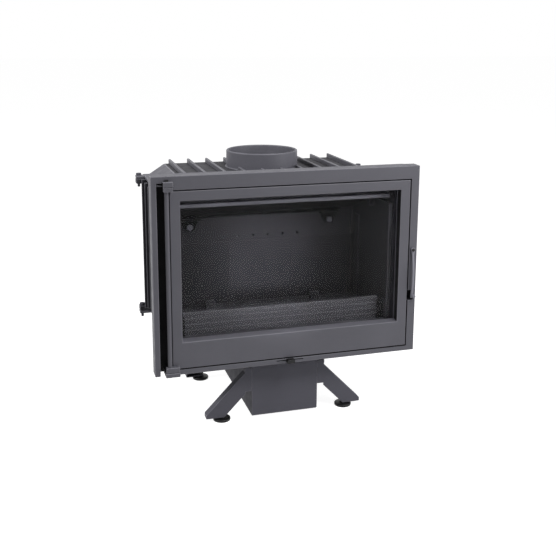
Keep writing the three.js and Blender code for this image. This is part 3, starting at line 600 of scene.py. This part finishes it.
# seals: a braided rope laid round a rectangle, a little flattened
def rope_seal(node, width, corner=9.0):
    low, high = ([c / MM for c in point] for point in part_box(node))
    left, right = low[0] + width / 2, high[0] - width / 2
    bottom, top = low[2] + width / 2, high[2] - width / 2
    depth = high[1] - low[1]
    y = (low[1] + high[1]) / 2
    corners = [(right - corner, top - corner, 0), (left + corner, top - corner, 90),
               (left + corner, bottom + corner, 180), (right - corner, bottom + corner, 270)]
    path = []
    for index, (cx, cz, start) in enumerate(corners):
        bend = arc(cx, cz, corner, start, start + 90, 8)
        nx, nz, turn = corners[(index + 1) % 4]
        entry = (nx + corner * math.cos(math.radians(turn)), nz + corner * math.sin(math.radians(turn)))
        steps = round(math.dist(bend[-1], entry) / 2.4)
        (x0, z0), (x1, z1) = bend[-1], entry
        path += bend + [(x0 + (x1 - x0) * k / steps, z0 + (z1 - z0) * k / steps) for k in range(1, steps)]
    rings = []
    count = len(path)
    travelled = 0.0
    for i, (px, pz) in enumerate(path):
        ahead, behind = path[(i + 1) % count], path[i - 1]
        along = Vector((ahead[0] - behind[0], 0, ahead[1] - behind[1])).normalized()
        out = Vector((along.z, 0, -along.x))
        travelled += math.dist(path[i - 1], (px, pz)) if i else 0.0
        ring = []
        for k in range(12):
            angle = FULL * k / 12
            strand = 0.94 + 0.06 * math.sin(travelled * FULL / 9 + 3 * angle)
            sideways = out * (width / 2 * strand * math.cos(angle))
            inward = Vector((0, depth / 2 * strand * math.sin(angle), 0))
            ring.append((Vector((px, y, pz)) + (sideways + inward)) * MM)
        rings.append(ring)
    rings.append(rings[0])
    mesh = skin(rings, caps=False)
    place_piece(mesh, "braided_" + node, node, [seal_rope], crease=80)


# ---------------------------------------------------------------- assembly
IRON_PIECES = {
    "back_wall": 1.6, "base_plate": 1.2, "airwash_deflector": 1.0,
}
SIDE_PIECES = {"side_wall_left": 1.6, "side_wall_right": 1.6}
# the chamber's pieces get the darker iron as painted shade
CHAMBER_PIECES = {
    "hearth_plate": 1.2, "ash_grate": 0.8, "fireback": 1.2, "secondary_air_plate": 1.2,
    "side_liner_left": 1.4, "side_liner_right": 1.4, "rear_log_stop_left": 1.5, "rear_log_stop_right": 1.5,
}
# pieces that get the painted deep shade, with the chamber iron on their edges as painted highlight
DEEP_SHADE_PIECES = {
    "smoke_baffle": 1.5, "baffle_bracket_left": 1.0, "baffle_bracket_right": 1.0,
    "retainer_guide_left": 0.8, "retainer_guide_right": 0.8,
}
SHEET_PIECES = {
    "air_shutter": 0.4, "ash_pan": 0.4, "rear_air_duct": 0.6, "air_box": 0.9, "pedestal_box": 0.9,
    "leg_front_left": 0.9, "leg_front_right": 0.9, "leg_rear_left": 0.9, "leg_rear_right": 0.9,
}
# each pair: the finish, then a lighter one on the rounded edges as painted highlight
for pieces, materials in (
    (IRON_PIECES, [cast_iron, cast_edge_highlight]),
    # the side walls get the darker iron as painted shade, with the frame iron on their edges as painted
    # highlight
    (SIDE_PIECES, [side_iron_painted_shade, cast_iron]),
    (CHAMBER_PIECES, [chamber_iron, chamber_edge_highlight]),
    (DEEP_SHADE_PIECES, [deep_shade_iron, chamber_iron]),
    (SHEET_PIECES, [sheet_steel, sheet_edge_highlight]),
):
    for node, width in pieces.items():
        rounded(node, materials, width)

# the frame's recess and the door's window reveal get the painted shade
rounded("front_frame", [cast_iron, cast_edge_highlight, cast_recess_shade], 1.6, shade_faces=shaded_frame_recess)
rounded("door_leaf", [cast_iron, cast_edge_highlight, cast_recess_shade], 1.4, shade_faces=shaded_window_reveal)
# the log retainer gets the darker iron as painted shade
rounded("log_retainer", [retainer_iron_painted_shade, chamber_edge_highlight], 1.0)
# the hood's floor between the ribs gets the painted shade
rounded("hood", [cast_iron, cast_edge_highlight, cast_valley_shade], 1.8, shade_faces=shaded_between_ribs)
rounded("air_control_knob", [black_steel], 1.0, 3)
rounded("door_glass", [ceramic], 0.6)
for level in ("upper", "lower"):
    for side in ("left", "right"):
        rounded(f"glass_clip_{level}_{side}", [black_steel], 0.5)
        upright_bolt(f"{level}_corner_bolt_{side}")
for side in ("left", "right"):
    wall_bolt(f"baffle_bolt_{side}")
    for end in ("front", "rear"):
        levelling_foot(f"foot_{end}_{side}")
        hex_nut(f"foot_nut_{end}_{side}", 5.4, f"hexagon_nut_{end}_{side}")
hinge_pin("upper_hinge_pin", True)
hinge_pin("lower_hinge_pin", False)
flue_collar()
latch_lever()
latch_pin()
rope_seal("glass_gasket", 7.0, 5.0)
rope_seal("door_gasket", 7.0)


# ---------------------------------------------------------------- floor, backdrop and light
def seen_straight_or_mirrored(tree):
    """1 for a ray from the camera, from a mirror or through glass, and 0 for one that lights the object."""
    rays = tree.nodes.new("ShaderNodeLightPath")
    seen = rays.outputs["Is Camera Ray"]
    for output in ("Is Glossy Ray", "Is Transmission Ray"):
        either = tree.nodes.new("ShaderNodeMath")
        either.operation = "MAXIMUM"
        tree.links.new(seen, either.inputs[0])
        tree.links.new(rays.outputs[output], either.inputs[1])
        seen = either.outputs[0]
    return seen


def studio_white(name, own_light):
    """A pale floor. Seen straight or mirrored it gets a little light of its own, and keeps its shadow."""
    material = bpy.data.materials.new(name)
    material.use_nodes = True
    tree = material.node_tree
    shader = tree.nodes["Principled BSDF"]
    shader.inputs["Base Color"].default_value = (0.45, 0.45, 0.45, 1)
    shader.inputs["Roughness"].default_value = 0.9
    shader.inputs["Specular IOR Level"].default_value = 0.0
    glow = tree.nodes.new("ShaderNodeMath")
    glow.operation = "MULTIPLY"
    glow.inputs[1].default_value = own_light
    tree.links.new(seen_straight_or_mirrored(tree), glow.inputs[0])
    shader.inputs["Emission Color"].default_value = (1, 1, 1, 1)
    tree.links.new(glow.outputs[0], shader.inputs["Emission Strength"])
    return material


FLOOR_HALF = 30.0
FLOOR_GAP = 0.5
FLOOR_GLOW = 0.93
AMBIENT = 0.14
floor_mesh = bpy.data.meshes.new("floor")
floor_mesh.from_pydata(
    [(-FLOOR_HALF, -FLOOR_HALF, 0), (FLOOR_HALF, -FLOOR_HALF, 0),
     (FLOOR_HALF, FLOOR_HALF, 0), (-FLOOR_HALF, FLOOR_HALF, 0)], [], [(0, 1, 2, 3)])
floor = bpy.data.objects.new("floor", floor_mesh)
floor.location.z = -FLOOR_GAP * MM
floor_mesh.materials.append(studio_white("pale_floor", FLOOR_GLOW))
scene.collection.objects.link(floor)

world = bpy.data.worlds.new("studio")
scene.world = world
world.use_nodes = True
sky = world.node_tree
background = sky.nodes["Background"]
background.inputs["Color"].default_value = (1, 1, 1, 1)
background.inputs["Strength"].default_value = AMBIENT
white = sky.nodes.new("ShaderNodeBackground")
white.inputs["Color"].default_value = (1, 1, 1, 1)
white.inputs["Strength"].default_value = 1.0
mix = sky.nodes.new("ShaderNodeMixShader")
sky.links.new(seen_straight_or_mirrored(sky), mix.inputs["Fac"])
sky.links.new(background.outputs[0], mix.inputs[1])
sky.links.new(white.outputs[0], mix.inputs[2])
sky.links.new(mix.outputs[0], sky.nodes["World Output"].inputs["Surface"])


def hang(data, position, target):
    """Puts a lamp in the scene, turned to its target, and returns it."""
    lamp = bpy.data.objects.new(data.name, data)
    lamp.location = position
    lamp.rotation_euler = (Vector(target) - Vector(position)).to_track_quat("-Z", "Y").to_euler()
    scene.collection.objects.link(lamp)
    return lamp


def softbox(name, position, target, size, watts):
    data = bpy.data.lights.new(name, "AREA")
    data.shape = "RECTANGLE"
    data.size, data.size_y = size
    data.energy = watts
    hang(data, position, target)


def soft_spot(name, position, target, degrees, radius, watts):
    """A round lamp that the glass doesn't mirror."""
    data = bpy.data.lights.new(name, "SPOT")
    data.energy = watts
    data.spot_size = math.radians(degrees)
    data.spot_blend = 1.0
    data.shadow_soft_size = radius
    hang(data, position, target).visible_glossy = False


MIDDLE = (0, 0, 0.4)
softbox("high", (0.9, -1.6, 2.7), MIDDLE, (1.5, 1.1), 82)
softbox("left", (-2.1, 0.1, 2.0), (0, 0.05, 0.6), (1.0, 0.8), 52)
softbox("right", (2.2, -1.7, 0.8), MIDDLE, (1.2, 1.0), 30)

# through the window onto the middle of the fireback
soft_spot("chamber_spot", (-0.25, -2.2, 0.55), (0.01, 0.1, 0.36), degrees=9, radius=0.05, watts=250)
